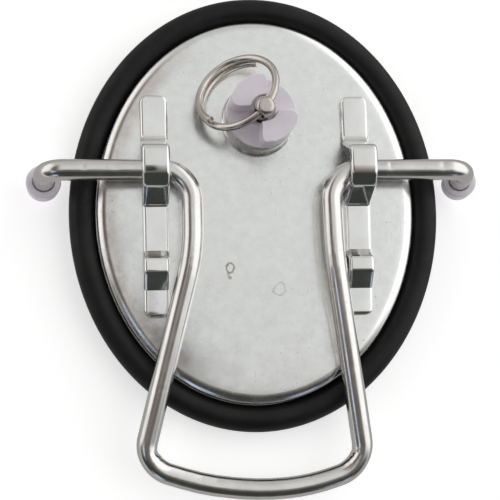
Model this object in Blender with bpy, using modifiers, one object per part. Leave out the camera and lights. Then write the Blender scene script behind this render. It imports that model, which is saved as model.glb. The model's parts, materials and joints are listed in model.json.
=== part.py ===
"""Oval hatch lid of a small beer keg: pan lid, O-ring, bracket strips, bail handle and relief valve.

Frame: metres, +Z up. The lid lies on its flange, whose underside is at z = 0. The handle is closed
towards -Y, and the valve is on the +Y side. The origin is at the middle of the whole object's base.
"""
from math import acos, asin, ceil, cos, pi, radians, sin, tan

import bmesh
import bpy
from mathutils import Vector

MM = 0.001
MERGE = 0.00001
GAP = 0.3 * MM

# The lid's centre, seen from the middle of the whole object's box.
LID_Y = 8.359 * MM

# O-ring: the oval that its tube's centre runs along, and the tube.
OVAL_A = 44.85 * MM
OVAL_B = 53.5 * MM
OVAL_STEPS = 64
SEAL_R = 3.45 * MM

# Pan lid, from sheet. The plate is its flat top.
SHEET = 1.5 * MM
PLATE_Z = 10.0 * MM
FLANGE_REACH = 2.6 * MM
SHOULDER_R = 3.6 * MM
SHOULDER_TURN = radians(48.0)
BROW_R = 1.7 * MM
FOOT_FILLET_R = 1.2 * MM
SEAL_Z = SHEET + GAP + SEAL_R

# Bracket strips, welded to the plate.
STRIP_T = 1.5 * MM
STRIP_W = 6.6 * MM
STRIP_X = 26.1 * MM
STRIP_WELD_GAP = 0.25 * MM
STRIP_CORNER_R = 2.0 * MM
STRIP_LOW = 1.0 * MM
# The strip's left edge flares outwards, a little for every millimetre past this place.
STRIP_FLARE = 0.021
STRIP_FLARE_Y = -5.0 * MM
# Corners of the strip's middle line: y, height over the plate, bend radius.
STRIP_PATH = (
    (29.5 * MM, STRIP_LOW, 0),
    (17.5 * MM, STRIP_LOW, 2.6 * MM),
    (14.3 * MM, 11.1 * MM, 1.6 * MM),
    (10.6 * MM, 11.6 * MM, 9.0 * MM),
    (7.9 * MM, 11.1 * MM, 2.6 * MM),
    (5.3 * MM, 9.6 * MM, 1.3 * MM),
    (1.5 * MM, STRIP_LOW, 1.6 * MM),
    (-11.0 * MM, STRIP_LOW, 1.0 * MM),
    (-13.1 * MM, 4.1 * MM, 1.1 * MM),
    (-16.0 * MM, 4.3 * MM, 1.3 * MM),
    (-20.3 * MM, STRIP_LOW, 1.0 * MM),
    (-27.4 * MM, STRIP_LOW, 0),
)

# Bail: bent round wire that turns in the strips' high loops.
WIRE_R = 2.7 * MM
BAIL_Y = 9.3 * MM
BAIL_Z = PLATE_Z + 6.5 * MM
ELBOW_X = 53.6 * MM
ELBOW_R = 5.0 * MM
LEG_SPLAY = radians(5.5)
LEG_LEAN = radians(8.0)
LEG_LENGTH = 13.1 * MM
NECK_R = 7.8 * MM
# Corners of the handle's middle line, from its left neck to its right one: x, y, z, bend radius.
HANDLE_PATH = (
    (-17.2 * MM, 0, 0, NECK_R),
    (-17.1 * MM, -20.6 * MM, 0.6 * MM, 40.0 * MM),
    (-29.4 * MM, -69.8 * MM, -6.9 * MM, 7.0 * MM),
    (-26.2 * MM, -75.0 * MM, -7.6 * MM, 8.0 * MM),
    (-14.0 * MM, -79.0 * MM, -8.2 * MM, 60.0 * MM),
    (0.5 * MM, -80.6 * MM, -8.4 * MM, 60.0 * MM),
    (12.5 * MM, -79.7 * MM, -8.3 * MM, 50.0 * MM),
    (22.9 * MM, -76.4 * MM, -7.8 * MM, 8.0 * MM),
    (26.0 * MM, -71.0 * MM, -7.0 * MM, 8.0 * MM),
    (18.5 * MM, -21.5 * MM, 0.5 * MM, 60.0 * MM),
    (18.0 * MM, 0, 0, NECK_R),
)

# Plastic feet pressed on the bail's turned-down ends.
FOOT_TOP = 9.6 * MM
FOOT_BOTTOM = 14.8 * MM
FOOT_RIM_H = 1.4 * MM
FOOT_RIM_R = 4.5 * MM
FOOT_R = 4.2 * MM
FOOT_BASE_R = 3.5 * MM
FOOT_EDGE = 0.8 * MM
FOOT_BORE_R = WIRE_R + GAP

# Relief valve. Heights are over the plate.
VALVE_X = 0.5 * MM
VALVE_Y = 23.3 * MM
COLLAR_R = 9.0 * MM
COLLAR_TOP = 7.7 * MM
COLLAR_BOTTOM = -3.5 * MM
COLLAR_LIP_R = 9.5 * MM
COLLAR_LIP_T = 0.55 * MM
COLLAR_NECK_R = 8.4 * MM
COLLAR_BORE_R = 7.0 * MM
COLLAR_RECESS_R = 8.2 * MM
COLLAR_RECESS_Z = 6.1 * MM
BODY_HEAD_R = 8.8 * MM
BODY_HEAD_Z = 8.0 * MM
BODY_LOW_TOP = 9.1 * MM
BODY_EAR_TOP = 15.7 * MM
BODY_SHANK_R = 6.65 * MM
BODY_BOTTOM = -5.5 * MM
BODY_WELL_R = 3.4 * MM
BODY_WELL_Z = 6.6 * MM
EAR_EDGE = 0.7 * MM
CHAMBER_R = 4.6 * MM
CHAMBER_TOP = 5.6 * MM
GUIDE_R = 1.85 * MM
GASKET_R = 7.4 * MM
GASKET_WIRE_R = 0.55 * MM
GASKET_Z = 7.0 * MM
BALL_Z = 16.0 * MM
BALL_R = 2.75 * MM
BALL_FLAT = 2.1 * MM
STEM_R = 1.5 * MM
STEM_STEP_Z = 1.5 * MM
STEM_END_R = 0.9 * MM
STEM_END_Z = -0.6 * MM
CROSS_HOLE_R = 1.65 * MM

# Parts on and under the stem, inside the valve body.
POPPET_R = 4.1 * MM
POPPET_TOP = -0.4 * MM
POPPET_BOTTOM = -2.6 * MM
POPPET_HUB_R = 2.2 * MM
POPPET_HUB_TOP = 1.2 * MM
POPPET_BORE_R = STEM_END_R + GAP
POPPET_BORE_Z = STEM_END_Z - GAP
POPPET_CUP_R = 3.5 * MM
POPPET_CUP_Z = -1.6 * MM
PAD_R = 3.2 * MM
PAD_TOP = -1.9 * MM
PAD_BOTTOM = -3.2 * MM
SEAT_R = 4.3 * MM
SEAT_BORE_R = 1.8 * MM
SEAT_LIP_R = 2.5 * MM
SEAT_LIP_Z = PAD_BOTTOM - GAP
SEAT_TOP = -3.9 * MM
SPRING_R = 3.2 * MM
SPRING_WIRE_R = 0.3 * MM
SPRING_LOW = 0.2 * MM
SPRING_HIGH = 4.3 * MM
SPRING_TURNS = 4
WASHER_IN_R = 1.9 * MM
WASHER_OUT_R = 4.2 * MM
WASHER_LOW = 4.85 * MM
WASHER_HIGH = 5.35 * MM

# Pull ring: a split ring through the ball, hanging from it down to the plate.
RING_R = 10.45 * MM
RING_WIRE_R = 0.95 * MM
RING_PITCH = 2.15 * MM
RING_HEADING = radians(48.0)
RING_SLOPE = radians(41.5)
RING_START = radians(185.0)
RING_END = radians(-340.0)


def clear_scene():
    for obj in list(bpy.data.objects):
        bpy.data.objects.remove(obj)


def make_collection(name):
    group = bpy.data.collections.new(name)
    bpy.context.scene.collection.children.link(group)
    return group


def make_material(name, colour, roughness, metallic):
    material = bpy.data.materials.new(name)
    material.use_nodes = True
    shader = material.node_tree.nodes["Principled BSDF"]
    shader.inputs["Base Color"].default_value = (*colour, 1.0)
    shader.inputs["Roughness"].default_value = roughness
    shader.inputs["Metallic"].default_value = metallic
    return material


def add_object(name, data, group, parent=None, material=None):
    obj = bpy.data.objects.new(name, data)
    group.objects.link(obj)
    obj.parent = parent
    if material:
        data.materials.append(material)
    return obj


def add_empty(name, group, location, rotation=(0, 0, 0), parent=None):
    empty = add_object(name, None, group, parent)
    empty.location = location
    empty.rotation_euler = rotation
    return empty


def make_cutter(obj):
    obj.hide_render = True
    obj.display_type = "WIRE"
    return obj


def cut(obj, cutter):
    modifier = obj.modifiers.new("cut_" + cutter.name, "BOOLEAN")
    modifier.operation = "DIFFERENCE"
    modifier.solver = "EXACT"
    modifier.object = cutter


def shade_round(mesh, angle=radians(35)):
    mesh.shade_smooth()
    mesh.set_sharp_from_angle(angle=angle)


def arc_points(centre, radius, start, end, steps):
    """Points on a circle in the plane of a profile, as (across, up) pairs."""
    points = []
    for step in range(steps + 1):
        angle = start + (end - start) * step / steps
        points.append((centre[0] + radius * cos(angle), centre[1] + radius * sin(angle)))
    return points


def rounded_path(corners, step_angle):
    """A path through (point, radius) corners, with an arc at each corner that has a radius."""
    points = [corners[0][0]]
    for (before, _), (corner, radius), (after, _) in zip(corners, corners[1:], corners[2:]):
        into = (before - corner).normalized()
        out = (after - corner).normalized()
        half = acos(max(-1.0, min(1.0, into.dot(out)))) / 2
        centre = corner + (into + out).normalized() * (radius / sin(half))
        first = corner + into * (radius / tan(half)) - centre
        last = corner + out * (radius / tan(half)) - centre
        turn = pi - 2 * half
        count = max(2, ceil(turn / step_angle))
        for step in range(count + 1):
            part = step / count
            blend = sin((1 - part) * turn) * first + sin(part * turn) * last
            points.append(centre + blend / sin(turn))
    points.append(corners[-1][0])
    return points


def oval_points(offset):
    """The O-ring's oval, moved outwards by the offset along its normals."""
    points = []
    for step in range(OVAL_STEPS):
        angle = 2 * pi * step / OVAL_STEPS
        normal = Vector((cos(angle) / OVAL_A, sin(angle) / OVAL_B)).normalized()
        on_oval = Vector((OVAL_A * cos(angle), OVAL_B * sin(angle)))
        points.append(on_oval + normal * offset)
    return points


def turned(name, profile, group, parent, material=None, closed=False, steps=36):
    """A turned piece: the profile of (radius, height) points goes round the parent's Z axis."""
    mesh = bpy.data.meshes.new(name)
    edges = [(index, index + 1) for index in range(len(profile) - 1)]
    if closed:
        edges.append((len(profile) - 1, 0))
    mesh.from_pydata([(radius, 0, height) for radius, height in profile], edges, [])
    obj = add_object(name, mesh, group, parent, material)
    screw = obj.modifiers.new("turn", "SCREW")
    screw.axis = "Z"
    screw.steps = steps
    screw.render_steps = steps
    screw.use_merge_vertices = True
    screw.merge_threshold = MERGE
    screw.use_smooth_shade = True
    return obj


def wire(name, points, radius, group, parent, material, closed=False, resolution=2):
    """A round wire along the points."""
    curve = bpy.data.curves.new(name, "CURVE")
    curve.dimensions = "3D"
    curve.bevel_depth = radius
    curve.bevel_resolution = resolution
    curve.use_fill_caps = not closed
    spline = curve.splines.new("POLY")
    spline.points.add(len(points) - 1)
    for target, point in zip(spline.points, points):
        target.co = (*point, 1.0)
    spline.use_cyclic_u = closed
    return add_object(name, curve, group, parent, material)


def make_lid(group, cutters, lid, valve, steel):
    """The pan lid: its outside surface, given the sheet's thickness, with a hole for the valve."""
    wall = -(SEAL_R + GAP)
    turn = pi / 2 - SHOULDER_TURN
    inset = SHOULDER_R - BROW_R
    shoulder = (wall - BROW_R - inset * cos(turn), PLATE_Z - SHOULDER_R)
    brow = (wall - BROW_R, shoulder[1] + inset * sin(turn))
    fillet = (wall + FOOT_FILLET_R, SHEET + FOOT_FILLET_R)
    profile = arc_points(shoulder, SHOULDER_R, pi / 2, turn, 4)
    profile += arc_points(brow, BROW_R, turn, 0, 3)[1:]
    profile += arc_points(fillet, FOOT_FILLET_R, pi, 1.5 * pi, 3)
    profile.append((FLANGE_REACH, SHEET))

    shape = bmesh.new()
    rings = []
    for offset, height in profile:
        rings.append([shape.verts.new((*point, height)) for point in oval_points(offset)])
    shape.faces.new(rings[0])
    for inner, outer in zip(rings, rings[1:]):
        for index in range(OVAL_STEPS):
            after = (index + 1) % OVAL_STEPS
            shape.faces.new((inner[index], outer[index], outer[after], inner[after]))
    mesh = bpy.data.meshes.new("lid_shell")
    shape.to_mesh(mesh)
    shape.free()
    shade_round(mesh)

    shell = add_object("lid_shell", mesh, group, lid, steel)
    solid = shell.modifiers.new("sheet", "SOLIDIFY")
    solid.thickness = SHEET
    solid.offset = -1
    solid.use_even_offset = True
    hole_r = COLLAR_NECK_R + GAP
    hole = turned("valve_hole", [(0, SHEET), (hole_r, SHEET), (hole_r, -2 * SHEET), (0, -2 * SHEET)],
                  cutters, valve)
    cut(shell, make_cutter(hole))


def make_seal(group, lid, rubber):
    path = [(point.x, point.y, SEAL_Z) for point in oval_points(0)]
    wire("lid_seal", path, SEAL_R, group, lid, rubber, closed=True, resolution=4)


def make_bracket(name, x, group, lid, steel):
    """One bent strip: its middle surface, with round corners at both ends, given its thickness."""
    corners = [(Vector((x, y, PLATE_Z + height)), radius) for y, height, radius in STRIP_PATH]
    line = rounded_path(corners, radians(25))
    shape = bmesh.new()
    left = []
    right = []
    for point in line:
        flare = STRIP_FLARE * max(0.0, point.y - STRIP_FLARE_Y)
        left.append(shape.verts.new(point - Vector((STRIP_W / 2 + flare, 0, 0))))
        right.append(shape.verts.new(point + Vector((STRIP_W / 2, 0, 0))))
    for index in range(len(line) - 1):
        shape.faces.new((left[index], left[index + 1], right[index + 1], right[index]))
    tips = [left[0], right[0], left[-1], right[-1]]
    bmesh.ops.bevel(shape, geom=tips, offset=STRIP_CORNER_R, segments=4, profile=0.5,
                    affect="VERTICES")
    mesh = bpy.data.meshes.new(name)
    shape.to_mesh(mesh)
    shape.free()
    shade_round(mesh)
    strip = add_object(name, mesh, group, lid, steel)
    solid = strip.modifiers.new("thickness", "SOLIDIFY")
    solid.thickness = STRIP_T
    solid.offset = 0
    solid.use_even_offset = True


def leg_end(side):
    """Where the bail's wire ends, inside a foot, in the bail's own frame."""
    drop = LEG_LENGTH * cos(LEG_SPLAY)
    x = side * (ELBOW_X + LEG_LENGTH * sin(LEG_SPLAY))
    return Vector((x, -drop * sin(LEG_LEAN), -drop * cos(LEG_LEAN)))


def make_bail(group, pivot, steel):
    corners = [(leg_end(-1), 0), (Vector((-ELBOW_X, 0, 0)), ELBOW_R)]
    corners += [(Vector((x, y, z)), radius) for x, y, z, radius in HANDLE_PATH]
    corners += [(Vector((ELBOW_X, 0, 0)), ELBOW_R), (leg_end(1), 0)]
    wire("bail", rounded_path(corners, radians(13)), WIRE_R, group, pivot, steel, resolution=3)


def make_foot(name, side, group, pivot, plastic):
    """A cap on one of the bail's ends: its frame hangs from the elbow, along the leg."""
    bore_end = LEG_LENGTH + GAP
    profile = [
        (0, -bore_end),
        (FOOT_BORE_R, -bore_end),
        (FOOT_BORE_R, -FOOT_TOP),
        (FOOT_RIM_R, -FOOT_TOP),
        (FOOT_RIM_R, -FOOT_TOP - FOOT_RIM_H),
        (FOOT_R, -FOOT_TOP - FOOT_RIM_H),
        (FOOT_R, -FOOT_BOTTOM + FOOT_EDGE),
        (FOOT_BASE_R, -FOOT_BOTTOM),
        (0, -FOOT_BOTTOM),
    ]
    foot = turned(name, profile, group, pivot, plastic, steps=24)
    foot.location = (side * ELBOW_X, 0, 0)
    foot.rotation_mode = "ZYX"
    foot.rotation_euler = (-LEG_LEAN, -side * LEG_SPLAY, 0)


def make_collar(group, valve, steel):
    lip_low = STRIP_WELD_GAP
    profile = [
        (COLLAR_RECESS_R, COLLAR_TOP),
        (COLLAR_R, COLLAR_TOP),
        (COLLAR_R, lip_low + COLLAR_LIP_T),
        (COLLAR_LIP_R, lip_low + COLLAR_LIP_T),
        (COLLAR_LIP_R, lip_low),
        (COLLAR_NECK_R, lip_low),
        (COLLAR_NECK_R, COLLAR_BOTTOM),
        (COLLAR_BORE_R, COLLAR_BOTTOM),
        (COLLAR_BORE_R, COLLAR_RECESS_Z),
        (COLLAR_RECESS_R, COLLAR_RECESS_Z),
    ]
    turned("valve_collar", profile, group, valve, steel, closed=True, steps=40)


def make_valve_body(group, cutters, valve, plastic):
    """The turned body, with two opposite quarters of its head cut low, so that two ears stand."""
    profile = [
        (BODY_WELL_R, BODY_EAR_TOP),
        (BODY_HEAD_R, BODY_EAR_TOP),
        (BODY_HEAD_R, BODY_HEAD_Z),
        (BODY_SHANK_R, BODY_HEAD_Z),
        (BODY_SHANK_R, BODY_BOTTOM),
        (CHAMBER_R, BODY_BOTTOM),
        (CHAMBER_R, CHAMBER_TOP),
        (GUIDE_R, CHAMBER_TOP),
        (GUIDE_R, BODY_WELL_Z),
        (BODY_WELL_R, BODY_WELL_Z),
    ]
    body = turned("valve_body", profile, group, valve, plastic, closed=True, steps=40)
    reach = 2 * BODY_HEAD_R
    for name, side in (("quarter_right", 1), ("quarter_left", -1)):
        shape = bmesh.new()
        bmesh.ops.create_cube(shape, size=reach)
        mesh = bpy.data.meshes.new(name)
        shape.to_mesh(mesh)
        shape.free()
        block = add_object(name, mesh, cutters, valve)
        centre = side * (reach / 2 + EAR_EDGE)
        block.location = (centre, centre - side * EAR_EDGE / 2, BODY_LOW_TOP + reach / 2)
        cut(body, make_cutter(block))


def make_gasket(group, valve, rubber):
    turn = [2 * pi * step / 32 for step in range(32)]
    path = [(GASKET_R * cos(angle), GASKET_R * sin(angle), GASKET_Z) for angle in turn]
    wire("body_gasket", path, GASKET_WIRE_R, group, valve, rubber, closed=True)


def make_stem(group, cutters, valve, steel):
    """The stem and its ball head, flat on top, with the ring's hole across it."""
    flat_angle = asin(BALL_FLAT / BALL_R)
    neck_angle = -acos(STEM_R / BALL_R)
    profile = [(0, BALL_Z + BALL_FLAT)]
    profile += arc_points((0, BALL_Z), BALL_R, flat_angle, neck_angle, 8)
    profile += [
        (STEM_R, STEM_STEP_Z),
        (STEM_END_R, STEM_STEP_Z),
        (STEM_END_R, STEM_END_Z),
        (0, STEM_END_Z),
    ]
    stem = turned("valve_stem", profile, group, valve, steel, steps=28)
    reach = 2 * BALL_R
    tool = [(0, reach), (CROSS_HOLE_R, reach), (CROSS_HOLE_R, -reach), (0, -reach)]
    drill = turned("cross_drill", tool, cutters, valve, steps=16)
    drill.location = (0, 0, BALL_Z)
    drill.rotation_euler = (0, pi / 2, RING_HEADING)
    cut(stem, make_cutter(drill))


def make_pull_ring(group, ring_pivot, steel):
    """The split ring's turns. Its frame sits in the ball, with X along the hole."""
    count = ceil((RING_START - RING_END) / radians(12))
    path = []
    for step in range(count + 1):
        angle = RING_START + (RING_END - RING_START) * step / count
        lift = RING_PITCH * (angle + pi / 2) / (2 * pi)
        path.append((RING_R * cos(angle), RING_R * (1 + sin(angle)), lift))
    wire("pull_ring", path, RING_WIRE_R, group, ring_pivot, steel)


def make_spring(group, valve, steel):
    count = 14 * SPRING_TURNS
    path = []
    for step in range(count + 1):
        angle = 2 * pi * SPRING_TURNS * step / count
        height = SPRING_LOW + (SPRING_HIGH - SPRING_LOW) * step / count
        path.append((SPRING_R * cos(angle), SPRING_R * sin(angle), height))
    wire("valve_spring", path, SPRING_WIRE_R, group, valve, steel)


def make_spring_washer(group, valve, steel):
    profile = [
        (WASHER_IN_R, WASHER_HIGH),
        (WASHER_OUT_R, WASHER_HIGH),
        (WASHER_OUT_R, WASHER_LOW),
        (WASHER_IN_R, WASHER_LOW),
    ]
    turned("spring_washer", profile, group, valve, steel, closed=True, steps=24)


def make_poppet(group, valve, plastic, rubber):
    """The disc on the stem's end, with a cup under it, and the rubber pad in the cup."""
    profile = [
        (0, POPPET_BORE_Z),
        (POPPET_BORE_R, POPPET_BORE_Z),
        (POPPET_BORE_R, POPPET_HUB_TOP),
        (POPPET_HUB_R, POPPET_HUB_TOP),
        (POPPET_HUB_R, POPPET_TOP),
        (POPPET_R, POPPET_TOP),
        (POPPET_R, POPPET_BOTTOM),
        (POPPET_CUP_R, POPPET_BOTTOM),
        (POPPET_CUP_R, POPPET_CUP_Z),
        (0, POPPET_CUP_Z),
    ]
    turned("poppet", profile, group, valve, plastic, steps=24)
    pad = [(0, PAD_TOP), (PAD_R, PAD_TOP), (PAD_R, PAD_BOTTOM), (0, PAD_BOTTOM)]
    turned("poppet_seal", pad, group, valve, rubber, steps=24)


def make_seat_plug(group, valve, plastic):
    profile = [
        (SEAT_BORE_R, SEAT_LIP_Z),
        (SEAT_LIP_R, SEAT_LIP_Z),
        (SEAT_LIP_R, SEAT_TOP),
        (SEAT_R, SEAT_TOP),
        (SEAT_R, BODY_BOTTOM),
        (SEAT_BORE_R, BODY_BOTTOM),
    ]
    turned("seat_plug", profile, group, valve, plastic, closed=True, steps=24)


def main():
    clear_scene()
    group = make_collection("beer_keg_lid")
    cutters = make_collection("cutters")

    plate_steel = make_material("plate_steel", (0.74, 0.74, 0.72), 0.22, 1.0)
    bracket_steel = make_material("bracket_steel", (0.74, 0.74, 0.73), 0.2, 1.0)
    bail_steel = make_material("bail_steel", (0.68, 0.67, 0.65), 0.18, 1.0)
    ring_steel = make_material("ring_steel", (0.62, 0.58, 0.54), 0.25, 1.0)
    spring_steel = make_material("spring_steel", (0.6, 0.6, 0.6), 0.3, 1.0)
    seal_rubber = make_material("seal_rubber", (0.015, 0.015, 0.016), 0.55, 0.0)
    lilac_plastic = make_material("lilac_plastic", (0.56, 0.53, 0.58), 0.5, 0.0)
    white_plastic = make_material("white_plastic", (0.8, 0.79, 0.76), 0.45, 0.0)

    lid = add_empty("lid_frame", group, (0, LID_Y, 0))
    valve = add_empty("valve_frame", group, (VALVE_X, VALVE_Y, PLATE_Z), parent=lid)
    pivot = add_empty("bail_pivot", group, (0, BAIL_Y, BAIL_Z), parent=lid)
    ring_turn = (-RING_SLOPE, 0, RING_HEADING)
    ring_pivot = add_empty("ring_pivot", group, (0, 0, BALL_Z), ring_turn, valve)

    make_lid(group, cutters, lid, valve, plate_steel)
    make_seal(group, lid, seal_rubber)
    make_bracket("bracket_left", -STRIP_X, group, lid, bracket_steel)
    make_bracket("bracket_right", STRIP_X, group, lid, bracket_steel)

    make_bail(group, pivot, bail_steel)
    make_foot("foot_left", -1, group, pivot, lilac_plastic)
    make_foot("foot_right", 1, group, pivot, lilac_plastic)

    make_collar(group, valve, plate_steel)
    make_valve_body(group, cutters, valve, lilac_plastic)
    make_gasket(group, valve, seal_rubber)
    make_stem(group, cutters, valve, ring_steel)
    make_pull_ring(group, ring_pivot, ring_steel)
    make_spring(group, valve, spring_steel)
    make_spring_washer(group, valve, spring_steel)
    make_poppet(group, valve, white_plastic, seal_rubber)
    make_seat_plug(group, valve, white_plastic)


main()
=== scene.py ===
"""Finished surfaces of the oval keg lid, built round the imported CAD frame.

Every visible piece is a finer mesh in its CAD node's place, with a procedural material. Lengths are
in metres, and the places come from the frame's nodes and joints.
"""
import json
from math import acos, asin, ceil, cos, exp, pi, radians, sin, sqrt, tan

import bmesh
import bpy
from mathutils import Matrix, Vector, noise


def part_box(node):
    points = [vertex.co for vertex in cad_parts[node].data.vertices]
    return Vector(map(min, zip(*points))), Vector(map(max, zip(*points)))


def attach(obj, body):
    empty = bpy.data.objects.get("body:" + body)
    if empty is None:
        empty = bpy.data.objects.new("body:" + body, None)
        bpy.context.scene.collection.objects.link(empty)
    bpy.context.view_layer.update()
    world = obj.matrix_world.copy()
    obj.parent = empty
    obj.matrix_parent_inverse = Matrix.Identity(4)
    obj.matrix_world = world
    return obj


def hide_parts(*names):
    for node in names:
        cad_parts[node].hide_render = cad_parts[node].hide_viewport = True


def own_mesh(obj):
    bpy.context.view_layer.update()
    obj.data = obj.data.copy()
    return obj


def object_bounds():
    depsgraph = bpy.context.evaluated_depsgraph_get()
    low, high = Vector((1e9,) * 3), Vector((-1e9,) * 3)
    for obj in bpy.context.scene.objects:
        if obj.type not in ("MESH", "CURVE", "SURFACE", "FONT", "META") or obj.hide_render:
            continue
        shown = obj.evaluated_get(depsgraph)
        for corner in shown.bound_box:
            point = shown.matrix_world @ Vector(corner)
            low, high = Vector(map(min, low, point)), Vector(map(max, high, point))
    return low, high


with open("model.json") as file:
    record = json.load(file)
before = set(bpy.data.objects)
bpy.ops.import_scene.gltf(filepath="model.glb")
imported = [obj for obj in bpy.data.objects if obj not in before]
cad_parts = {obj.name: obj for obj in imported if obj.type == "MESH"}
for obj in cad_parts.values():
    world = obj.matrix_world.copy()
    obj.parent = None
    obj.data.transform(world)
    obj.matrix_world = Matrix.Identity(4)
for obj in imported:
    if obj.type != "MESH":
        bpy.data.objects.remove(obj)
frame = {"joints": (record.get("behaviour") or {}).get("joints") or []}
CAD_LOW, CAD_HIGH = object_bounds()
JOINTS = {joint["name"]: joint for joint in frame["joints"]}

MM = 0.001
GAP = 0.3 * MM
PATH_STEP = 0.5 * MM
SHARP_TURN = radians(40)

# The lid and its seal, from the frame.
SHELL_LOW, SHELL_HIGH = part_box("lid_shell")
SEAL_LOW, SEAL_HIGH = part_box("lid_seal")
LID = Vector((0, (SHELL_LOW.y + SHELL_HIGH.y) / 2, 0))
PLATE_Z = SHELL_HIGH.z
SEAL_R = (SEAL_HIGH.z - SEAL_LOW.z) / 2
SEAL_Z = (SEAL_HIGH.z + SEAL_LOW.z) / 2
OVAL_A = SEAL_HIGH.x - SEAL_R
OVAL_B = SEAL_HIGH.y - LID.y - SEAL_R
OVAL_STEPS = 192
SEAL_SIDES = 48
FLASH_H = 0.05 * MM
FLASH_SPREAD = 0.09

# The sheet pan: its plate falls away a little before the shoulder's tight bend.
SHEET = 1.5 * MM
SHOULDER_R = 3.6 * MM
SHOULDER_TURN = radians(48.0)
BROW_R = 0.7 * MM
UNDER_BROW_R = 0.15 * MM
FOOT_FILLET_R = 1.2 * MM
FLANGE_REACH = SHELL_HIGH.x - OVAL_A
DROOP = 0.42 * MM
DROOP_W = 8.0 * MM
PLATE_WAVE = 0.035 * MM
WAVE_LENGTH = 20.0 * MM
PLATE_STEPS = 44

# Bracket strips. The corners of the middle line: y, height over the plate, bend radius.
STRIP_T = 1.5 * MM
STRIP_W = 6.6 * MM
STRIP_EDGE_R = 0.95 * MM
STRIP_UNDER_R = 0.45 * MM
STRIP_CORNER_R = 2.0 * MM
STRIP_LOW = 1.0 * MM
STRIP_FLARE = 0.021
STRIP_FLARE_Y = -5.0 * MM
STRIP_PATH = (
    (29.5 * MM, STRIP_LOW, 0),
    (17.5 * MM, STRIP_LOW, 2.6 * MM),
    (14.3 * MM, 11.1 * MM, 1.6 * MM),
    (10.6 * MM, 11.6 * MM, 9.0 * MM),
    (7.9 * MM, 11.1 * MM, 2.6 * MM),
    (5.3 * MM, 9.6 * MM, 1.3 * MM),
    (1.5 * MM, STRIP_LOW, 1.6 * MM),
    (-11.0 * MM, STRIP_LOW, 1.0 * MM),
    (-13.1 * MM, 4.1 * MM, 1.1 * MM),
    (-16.0 * MM, 4.3 * MM, 1.3 * MM),
    (-20.3 * MM, STRIP_LOW, 1.0 * MM),
    (-27.4 * MM, STRIP_LOW, 0),
)

# Bail: bent round wire. Its frame is on the pivot, and its handle dips towards the lid's edge.
PIVOT = Vector(JOINTS["bail_swing"]["pos_m"])
WIRE_R = 2.7 * MM
WIRE_SIDES = 32
ELBOW_X = 53.6 * MM
ELBOW_R = 5.0 * MM
LEG_SPLAY = radians(5.5)
LEG_LEAN = radians(8.0)
LEG_LENGTH = 13.1 * MM
NECK_R = 7.8 * MM
HANDLE_PATH = (
    (-17.2 * MM, 0, 0, NECK_R),
    (-17.1 * MM, -20.6 * MM, 0.6 * MM, 40.0 * MM),
    (-29.4 * MM, -69.8 * MM, -6.9 * MM, 7.0 * MM),
    (-26.2 * MM, -75.0 * MM, -7.6 * MM, 8.0 * MM),
    (-14.0 * MM, -79.0 * MM, -8.2 * MM, 60.0 * MM),
    (0.5 * MM, -80.6 * MM, -8.4 * MM, 60.0 * MM),
    (12.5 * MM, -79.7 * MM, -8.3 * MM, 50.0 * MM),
    (22.9 * MM, -76.4 * MM, -7.8 * MM, 8.0 * MM),
    (26.0 * MM, -71.0 * MM, -7.0 * MM, 8.0 * MM),
    (18.5 * MM, -21.5 * MM, 0.5 * MM, 60.0 * MM),
    (18.0 * MM, 0, 0, NECK_R),
)

# Marks on the bail's wire. A crease: how far along the bend, its length, its share of the radius.
CREASED_BENDS = (
    (Vector((-28.6, -71.0, -7.1)) * MM, Vector((0.90, 0.35, 0.25))),
    (Vector((25.3, -72.2, -7.2)) * MM, Vector((-0.90, 0.35, 0.25))),
)
CREASES = (
    (0.4 * MM, 1.0 * MM, 0.18),
    (-1.3 * MM, 0.7 * MM, 0.12),
    (-3.0 * MM, 0.8 * MM, 0.07),
    (2.6 * MM, 1.0 * MM, 0.05),
)
CREASE_SPREAD = 0.75

# A nick: its place, its length, its share of the radius.
NICKS = (
    (Vector((-44.0, 0, 0)) * MM, 0.5 * MM, 0.07),
    (Vector((-36.5, 0, 0)) * MM, 0.9 * MM, 0.05),
    (Vector((33.5, 0, 0)) * MM, 0.4 * MM, 0.08),
    (Vector((47.2, 0, 0)) * MM, 0.7 * MM, 0.05),
    (Vector((-26.0, -54.0, -4.32)) * MM, 0.6 * MM, 0.05),
    (Vector((22.6, -50.0, -4.0)) * MM, 0.8 * MM, 0.05),
)
NICK_FACING = Vector((0.1, 0.3, 1))
NICK_SPREAD = 0.35

# Plastic feet. Their heights run down from the pivot, along the leg.
FOOT_TOP = 9.6 * MM
FOOT_BOTTOM = 14.8 * MM
FOOT_RIM_H = 1.4 * MM
FOOT_RIM_R = 4.5 * MM
FOOT_R = 4.2 * MM

# Relief valve. Heights are over the plate.
COLLAR_LOW, COLLAR_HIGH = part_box("valve_collar")
VALVE = Vector(((COLLAR_LOW.x + COLLAR_HIGH.x) / 2, (COLLAR_LOW.y + COLLAR_HIGH.y) / 2, PLATE_Z))
COLLAR_R = 9.0 * MM
COLLAR_TOP = COLLAR_HIGH.z - PLATE_Z
COLLAR_BOTTOM = COLLAR_LOW.z - PLATE_Z
COLLAR_LIP_R = (COLLAR_HIGH.x - COLLAR_LOW.x) / 2
COLLAR_NECK_R = 8.4 * MM
WELD_GAP = 0.25 * MM
COLLAR_BORE_R = 7.0 * MM
COLLAR_RECESS_R = 8.2 * MM
COLLAR_RECESS_Z = 6.1 * MM
HEAD_R = 8.8 * MM
HEAD_Z = 8.0 * MM
LOW_TOP = 9.1 * MM
EAR_TOP = 15.7 * MM
SHANK_R = 6.65 * MM
BODY_BOTTOM = -5.5 * MM
WELL_R = 3.3 * MM
WELL_Z = 6.6 * MM
EAR_EDGE = 0.7 * MM
EAR_TIP_R = 1.1 * MM
EAR_HEEL_R = 1.9 * MM
EAR_INSET = 0.04 * MM
EAR_SUNK = 0.5 * MM
MOULD_GRID = 0.17 * MM
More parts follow.
